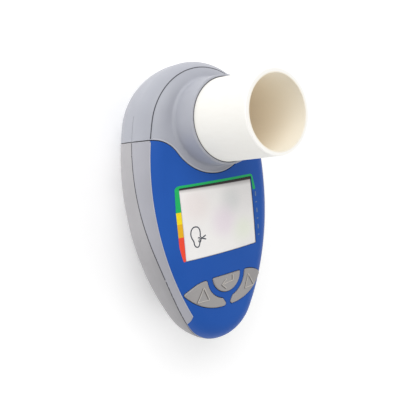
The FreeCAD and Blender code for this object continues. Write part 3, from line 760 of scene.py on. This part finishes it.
def sideParting(values):
    # where the band or the blue front meets the rear shell, all round the tail, scanned from below
    skin = Skin("middle_frame", "front_fascia", "rear_shell")
    scan = mm(values["scanStep"])
    points, normals = [], []
    for outward in outwards(values["partingTurn"], values["steps"]):
        start = bodyMiddle + outward * farOut

        def rear(level):
            start.z = level
            return skin.hit(start, -outward)[2] == "rear_shell"

        low = faceZ - mm(values["partingDepth"])
        while low < faceZ and rear(low + scan):
            low += scan
        high = low + scan  # the line lies between, and halving finds it
        for _ in range(6):
            level = (low + high) / 2
            low, high = (level, high) if rear(level) else (low, level)
        start.z = low
        point, normal = skin.hit(start, -outward)[:2]
        if point is not None and point.y < flowY - mm(values["seamDrop"]):
            points.append(point)
            normals.append(normal)
    return points, normals


def frontParting(names, inside, centre, turn, values, limit):
    # where one front moulding ends, found by rays from above that come in from the outside
    skin = Skin(*names)
    scan = mm(values["scanStep"])
    points, normals = [], []
    for outward in outwards(turn, values["steps"]):

        def within(reach):
            start = centre + outward * reach
            start.z = skyZ
            return skin.hit(start, down)[2] == inside

        high = mm(values["scanFrom"])
        while high > 0 and not within(high - scan):
            high -= scan
        low = high - scan  # the edge lies between, and halving finds it
        for _ in range(8):
            reach = (low + high) / 2
            low, high = (reach, high) if within(reach) else (low, reach)
        start = centre + outward * (low - mm(values["inset"]))
        start.z = skyZ
        point = skin.hit(start, down)[0]
        if point is not None and limit(point):
            points.append(point)
            normals.append(calmNormal(skin, start, outward))
    return points, normals


def calmNormal(skin, start, outward):
    # the surface's direction, taken from both sides of a line
    total = Vector((0, 0, 0))
    for shift in (-0.5, 0.5):
        total += skin.hit(start + outward * mm(shift), down)[1] or Vector((0, 0, 0))
    return total.normalized()


def runs(points, normals, jump):
    # the same points in pieces that have no jumps inside, without the very short ones
    fewest = 5
    pieces, current = [], [0]
    for index in range(1, len(points)):
        if (points[index] - points[index - 1]).length > jump:
            pieces.append(current)
            current = []
        current.append(index)
    pieces.append(current)
    return [([points[index] for index in piece], [normals[index] for index in piece])
            for piece in pieces if len(piece) >= fewest]


def makeLines(values):
    lift, sink, jump = values["lift"], values["sink"], mm(values["jump"])
    points, normals = sideParting(values)
    ribbon("partingLine", runs(points, normals, jump), values["parting"], lift, sink, "seam", "handset")
    # a faint line runs on a little way up the head's sides
    skin = Skin("head_rear_housing", "head_front_cover")
    foot, length, steps = flowY - mm(values["faintDrop"]), mm(values["faintLength"]), values["faintSteps"]
    for name, end, side in (("headSideLineRight", points[0], 1), ("headSideLineLeft", points[-1], -1)):
        hits = [skin.hit(Vector((side * farOut, foot + length * step / steps, end.z)),
                         Vector((-side, 0, 0))) for step in range(steps + 1)]
        chain = ([hit[0] for hit in hits], [hit[1] for hit in hits])
        ribbon(name, [chain], values["faintWidth"], values["faintLift"], values["faintSink"],
               "faintSeam", "flow_head")
    points, normals = frontParting(["head_front_cover", "head_rear_housing"], "head_front_cover",
                                   at(0, 0), values["headTurn"], values,
                                   lambda point: point.y > flowY - mm(values["headDrop"]))
    ribbon("headPartingLine", runs(points, normals, jump), values["headLine"], lift, sink, "seam",
           "flow_head")
    points, normals = frontParting(["front_fascia", "middle_frame", "rear_shell"], "front_fascia",
                                   bodyMiddle, values["lipTurn"], values,
                                   lambda point: point.y < flowY - mm(values["seamDrop"]))
    # a painted highlight along the edge of the blue front
    ribbon("frameLip", runs(points, normals, jump), values["lip"], lift, sink, "edgeHighlight", "handset")


makeLines(lineValues)
print("parting lines laid")


# a painted highlight along the seam's edge on the head, and a painted shadow round the mouthpiece

seamValues = {
    "radius": 19.5,
    "bend": 12.0,
    "drop": 4.3,
    "flank": 26.5,  # how far out the seam is followed
    "inset": 0.3,
    "step": 0.8,
    "steepest": 0.3,  # the edge stops where the surface faces up less than this
    "width": 0.5,
    "lift": 0.04,
    "sink": 0.15,
    "collarTop": -9.4,
    "ringRadius": 15.68,
    "ringWidth": 0.3,
    "ringLift": 0.02,
    "ringSink": 0.1,
    "ringSteps": 144,
}


def seamPath(values):
    # the S-shaped seam as (x, drop), from the right flank to the left one
    radius, bend = values["radius"] - values["inset"], values["bend"] + values["inset"]
    level, flank = values["drop"] - values["inset"], values["flank"]
    bendSteps, arcSteps = 12, 40
    acrossX = math.sqrt((radius + bend) ** 2 - (level + bend) ** 2)
    lean = math.degrees(math.atan2(level + bend, acrossX))
    turns = [math.radians(90 + (90 - lean) * index / bendSteps) for index in range(bendSteps + 1)]
    right = [(acrossX + bend * math.cos(turn), level + bend - bend * math.sin(turn)) for turn in turns]
    turns = [math.radians(-lean - (180 - 2 * lean) * index / arcSteps) for index in range(arcSteps + 1)]
    low = [(radius * math.cos(turn), -radius * math.sin(turn)) for turn in turns]
    left = [(-x, drop) for x, drop in reversed(right)]
    return spread([(flank, level)] + right + low[1:-1] + left + [(-flank, level)], values["step"])


def makeSeams(values):
    skin = Skin("head_front_cover")
    points, normals = [], []
    for x, drop in seamPath(values):
        point, normal = skin.below(x, drop)
        if point is not None and normal.z > values["steepest"]:
            points.append(point)
            normals.append(normal)
    # a painted highlight along the head's edge at the seam
    ribbon("seamEdge", [(points, normals)], values["width"], values["lift"], values["sink"], "edgeHighlight",
           "flow_head")
    radius, steps = values["ringRadius"], values["ringSteps"]
    turns = [math.tau * index / steps for index in range(steps)]
    ring = [at(radius * math.cos(turn), radius * math.sin(turn), values["collarTop"]) for turn in turns]
    ribbon("collarShadow", [(ring, [Vector((0, 0, 1))] * steps)], values["ringWidth"],
           values["ringLift"], values["ringSink"], "seam", "flow_head", True)


makeSeams(seamValues)
print("seams laid")


# the mouthpiece, a tapered tube turned round the flow axis

mouthpieceValues = {
    "footRadius": 15.5,
    "lipRadius": 14.4,
    "footBore": 13.1,
    "lipBore": 12.9,
    "footDepth": 2.9,
    "collarTop": -9.4,
    "rounding": 0.7,
    "steps": 144,
    "cuts": 15,
    "lipSteps": 6,
}


def makeMouthpiece(values):
    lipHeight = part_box("mouthpiece")[1].z
    sizes = {"Foot Radius": mm(values["footRadius"]), "Lip Radius": mm(values["lipRadius"]),
             "Foot Bore": mm(values["footBore"]), "Lip Bore": mm(values["lipBore"]),
             "Foot Height": faceZ - mm(values["footDepth"]), "Lip Height": lipHeight,
             "Collar Height": faceZ - mm(values["collarTop"]), "Rounding": mm(values["rounding"]),
             "Centre X": flowX, "Centre Y": flowY, "Steps": values["steps"]}
    shape = Shape("mouthpieceShape", sizes)
    size = shape.sizes
    lip, bore, foot = size["Lip Radius"], size["Lip Bore"], size["Foot Height"]
    height, wall = size["Lip Height"] - foot, lip - bore
    profile = shape.node("GeometryNodeCurvePrimitiveQuadrilateral", {}, {"Width": wall, "Height": height})
    profile = shape.node("GeometryNodeSubdivideCurve", {}, {"Curve": profile, "Cuts": values["cuts"]})
    profile = shape.node("GeometryNodeFilletCurve", {"mode": "POLY"},
                         {"Curve": profile, "Radius": size["Rounding"], "Count": values["lipSteps"],
                          "Limit Radius": True})
    path = shape.node("GeometryNodeCurvePrimitiveCircle", {},
                      {"Resolution": size["Steps"], "Radius": (lip + bore) * 0.5})
    tube = shape.node("GeometryNodeCurveToMesh", {}, {"Curve": path, "Profile Curve": profile})
    # the straight tube is drawn out to its taper, ring by ring
    x, y = shape.place("X"), shape.place("Y")
    level = shape.place("Z") + height * 0.5 + foot
    reach = (x ** 2 + y ** 2) ** 0.5
    thin = level.ease(size["Collar Height"], size["Lip Height"], "LINEAR")
    outer = lip + (size["Foot Radius"] - lip) * (1 - thin)
    inner = bore + (size["Foot Bore"] - bore) * (1 - level.ease(foot, size["Lip Height"], "LINEAR"))
    grow = (inner + (outer - inner) * (reach - bore) / wall) / reach
    place = shape.vector(x * grow + size["Centre X"], y * grow + size["Centre Y"], level)
    shape.end(shape.node("GeometryNodeSetPosition", {}, {"Geometry": tube, "Position": place}))
    piece = placePiece("mouthpieceTube", shape.mesh("mouthpieceTube", "tube"), "mouthpiece", 50)
    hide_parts("mouthpiece")


makeMouthpiece(mouthpieceValues)
print("mouthpiece turned")


# the scale's marks beside the window: bars in a row, draped on the blue front

markValues = {
    "x": 19.9,
    "firstDrop": 30.9,
    "lastDrop": 48.1,
    "count": 6,
    "tall": (0.75, 1.9),  # the two kinds of bar, across and along
    "flat": (1.1, 0.5),
    "lift": 0.03,
    "sink": 0.08,
    "above": 5.0,
}


def makeMarks(values):
    sizes = {"Count": values["count"], "Thickness": mm(values["lift"] + values["sink"]),
             "Middle": mm(values["lift"] - values["sink"]) / 2,
             "Tall Across": mm(values["tall"][0]), "Tall Along": mm(values["tall"][1]),
             "Flat Across": mm(values["flat"][0]), "Flat Along": mm(values["flat"][1]),
             "Place X": mm(values["x"]), "First Y": flowY - mm(values["firstDrop"]),
             "Last Y": flowY - mm(values["lastDrop"]), "Above": faceZ + mm(values["above"])}
    shape = Shape("scaleMarkShape", sizes)
    size = shape.sizes
    first = shape.vector(size["Place X"], size["First Y"], 0.0)
    last = shape.vector(size["Place X"], size["Last Y"], 0.0)
    row = shape.node("GeometryNodeMeshLine", {"mode": "END_POINTS"},
                     {"Count": size["Count"], "Start Location": first, "Offset": last})
    odd = shape.node("GeometryNodeInputIndex") % 2
    across = size["Tall Across"] + (size["Flat Across"] - size["Tall Across"]) * odd
    along = size["Tall Along"] + (size["Flat Along"] - size["Tall Along"]) * odd
    # each bar has corners enough to bend with the front
    bar = shape.node("GeometryNodeMeshCube", {}, {"Size": (1, 1, 1), "Vertices X": 3, "Vertices Y": 5})
    bars = shape.node("GeometryNodeInstanceOnPoints", {},
                      {"Points": row, "Instance": bar,
                       "Scale": shape.vector(across, along, size["Thickness"])})
    bars = shape.node("GeometryNodeRealizeInstances", {}, {"Geometry": bars})
    front = shape.node("GeometryNodeObjectInfo", {}, {"Object": nodes["front_fascia"]}, "Geometry")
    x, y, z = [shape.place(name) for name in "XYZ"]
    ground = shape.node("GeometryNodeRaycast", {},
                        {"Target Geometry": front, "Source Position": shape.vector(x, y, size["Above"]),
                         "Ray Direction": (0, 0, -1), "Ray Length": mm(50)}, "Hit Position")
    draped = shape.vector(x, y, ground.axis("Z") + z + size["Middle"])
    shape.end(shape.node("GeometryNodeSetPosition", {}, {"Geometry": bars, "Position": draped}))
    placePiece("scaleMarks", shape.mesh("scaleMarks", "marks"), "handset")


makeMarks(markValues)
print("marks printed")


# the display's face, which follows the front's crown just below it

windowValues = {
    "halfWidth": 17.93,
    "top": 23.42,
    "bottom": 51.18,
    "below": 0.35,
    "foot": 4.5,
    "crown": 118.0,
    "fallDrop": 28.6,
    "fallRadius": 400.0,
    "columns": 36,
    "rows": 28,
}


def faceDepth(x, drop, values):
    # how far the front lies below its middle: it is crowned across, and falls away towards the tail
    fall = max(0.0, drop - values["fallDrop"])
    return x * x / (2 * values["crown"]) + fall * fall / (2 * values["fallRadius"])


def makeWindow(values):
    across, along = values["columns"], values["rows"]
    corners, faces = [], []
    for row in range(along + 1):
        for column in range(across + 1):
            x = values["halfWidth"] * (2 * column / across - 1)
            drop = values["top"] + (values["bottom"] - values["top"]) * row / along
            corners.append(at(x, drop, faceDepth(x, drop, values) + values["below"]))
    wide = across + 1
    count = len(corners)
    corners += [Vector((corner.x, corner.y, faceZ - mm(values["foot"]))) for corner in corners]
    for row in range(along):
        for column in range(across):
            here = row * wide + column
            faces.append([here, here + 1, here + wide + 1, here + wide])
            faces.append([count + here, count + here + wide, count + here + wide + 1, count + here + 1])
    rim = list(range(across))
    rim += [row * wide + across for row in range(along)]
    rim += [along * wide + column for column in range(across, 0, -1)]
    rim += [row * wide for row in range(along, 0, -1)]
    for index, here in enumerate(rim):
        after = rim[(index + 1) % len(rim)]
        faces.append([here, count + here, count + after, after])
    piece = makePiece("displayFace", corners, faces, "display", "handset")
    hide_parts("display_window")


makeWindow(windowValues)
print("display's face set")


# raised signs on the keys: strokes draped on a surface

strokeValues = {
    "step": 0.35,
    "sink": 0.15,
    "keyWidth": 0.42,
    "keyLift": 0.12,
    "shade": (-0.42, 0.12),
    "shadeWidth": 0.8,
    "shadeLift": 0.4,
    "enterArrow": (((2.8, 60.9), (2.7, 63.2), (-2.4, 63.8)), ((-0.6, 61.9), (-2.9, 63.8), (-0.9, 65.8))),
    "sideSign": ((11.5, 62.9), (14.6, 68.3), (9.3, 68.4), (11.5, 62.9)),
}


def stroke(name, skin, points, width, lift, finish, body, closed=False):
    places, normals = [], []
    for x, drop in spread(points, strokeValues["step"]):
        point, normal = skin.below(x, drop)
        places.append(point)
        normals.append(normal)
    if closed:
        places.pop()
        normals.pop()
    ribbon(name, [(places, normals)], width, lift, strokeValues["sink"], finish, body, closed)


def makeKeySigns(values):
    # each raised sign is drawn lighter as a painted highlight and has a darker stroke as painted shade on
    # its shaded side, thinner and lower by the two shares
    width, lift = values["keyWidth"], values["keyLift"]
    acrossShade, downShade = values["shade"]
    signs = [("enterSign%d" % index, "enter_key", points, False)
             for index, points in enumerate(values["enterArrow"])]
    for side, body in ((1, "right_key"), (-1, "left_key")):
        signs.append((body + "Sign", body, [(side * x, drop) for x, drop in values["sideSign"]], True))
    for name, body, points, closed in signs:
        skin = Skin(body)
        stroke(name, skin, points, width, lift, "keyEdge", body, closed)
        shaded = [(x + acrossShade, drop + downShade) for x, drop in points]
        stroke(name + "Shade", skin, shaded, width * values["shadeWidth"], lift * values["shadeLift"],
               "keyShade", body, closed)


makeKeySigns(strokeValues)
print("key signs raised")


# the small sign on the display

displayValues = {
    "width": 0.46,
    "thin": 0.8,  # the curl's share of that width
    "lift": 0.03,
    "steps": 5,
    "outline": ((-12.6, 38.7), (-11.5, 39.1), (-10.9, 40.2), (-10.8, 41.5), (-10.9, 42.6), (-10.5, 43.4),
                (-10.9, 44.2), (-11.3, 45.0), (-11.6, 46.0), (-12.2, 46.6), (-13.1, 46.4), (-13.7, 45.5),
                (-13.9, 44.2), (-14.6, 42.8), (-14.9, 41.4), (-14.6, 39.9), (-13.7, 38.9)),
    "puff": ((-8.4, 42.6), (-10.3, 43.5), (-8.4, 44.2)),
    "curl": ((-12.0, 43.2), (-11.4, 43.0), (-10.7, 44.0), (-11.0, 44.9), (-11.8, 44.6), (-11.4, 43.6)),
}


def smoothLoop(points, steps):
    # a closed curve through the points
    result, count = [], len(points)
    for index in range(count):
        before, here, after, beyond = [points[(index + shift) % count] for shift in (-1, 0, 1, 2)]
        for step in range(steps):
            t = step / steps
            result.append(tuple(0.5 * (2 * b + (c - a) * t + (2 * a - 5 * b + 4 * c - d) * t * t
                                       + (3 * b - a - 3 * c + d) * t ** 3)
                                for a, b, c, d in zip(before, here, after, beyond)))
    return result + result[:1]


def makeDisplaySigns(values):
    skin = Skin("displayFace")
    width, lift = values["width"], values["lift"]
    outline = smoothLoop(values["outline"], values["steps"])
    stroke("displayOutline", skin, outline, width, lift, "segments", "handset", True)
    stroke("displayPuff", skin, values["puff"], width, lift, "segments", "handset")
    stroke("displayCurl", skin, values["curl"], width * values["thin"], lift, "segments", "handset")


makeDisplaySigns(displayValues)
print("display sign drawn")


# light, table and world

studioValues = {
    "world": 0.54,
    # name, place, size and power
    "lights": (("key", (-0.36, 0.64, 0.62), 0.85, 5.4), ("fill", (0.55, -0.35, 0.5), 0.7, 1.1)),
    "table": (253, 253, 253),
    # the table's painted glow near the object and far from it, and the distances between which it changes
    "tableGlow": (0.19, 0.3),
    "tableSpread": (0.07, 0.14),
    "tableHalf": 3.0,
    "tableDrop": 0.0001,
}


def tableWhite(values):
    # a white top with a painted glow that is weaker near the object, which paints shade round it
    paint = Paint("tableWhite")
    grain = paint.noise(35, 3)
    away = (paint.place.axis("X") ** 2 + paint.place.axis("Y") ** 2) ** 0.5
    near, far = values["tableGlow"]
    glow = paint.mix(away.ease(*values["tableSpread"]), (near, near, near, 1), (far, far, far, 1))
    return paint.done(paint.mix(grain, tone(*values["table"]), tone(255, 255, 255)), 0.85, glow=glow)


def makeStudio(values):
    world = bpy.data.worlds.new("studio")
    bpy.context.scene.world = world
    world.use_nodes = True
    sky = Tree(world.node_tree)
    seen = sky.node("ShaderNodeLightPath", output="Is Camera Ray")
    strength = values["world"] + (1 - values["world"]) * seen  # the backdrop is white, its light softer
    white = sky.node("ShaderNodeBackground", {}, {"Color": (1, 1, 1, 1), "Strength": strength})
    sky.node("ShaderNodeOutputWorld", {}, {"Surface": white})
    for name, place, size, power in values["lights"]:
        light = bpy.data.lights.new(name, "AREA")
        light.energy = power
        light.size = size
        lamp = bpy.data.objects.new(name, light)
        bpy.context.scene.collection.objects.link(lamp)
        lamp.location = place
        lamp.visible_glossy = name == "key"  # the fill leaves no shine
        lamp.rotation_mode = "QUATERNION"
        lamp.rotation_quaternion = (-Vector(place)).to_track_quat("-Z", "Y")
    mesh = bpy.data.meshes.new("table")
    half, level = values["tableHalf"], -values["tableDrop"]
    sides = ((-half, -half), (half, -half), (half, half), (-half, half))
    mesh.from_pydata([(x, y, level) for x, y in sides], [], [[0, 1, 2, 3]])
    mesh.materials.append(tableWhite(values))
    table = bpy.data.objects.new("table", mesh)
    bpy.context.scene.collection.objects.link(table)
    bpy.context.scene.view_settings.view_transform = "Standard"


makeStudio(studioValues)
print("studio lit")
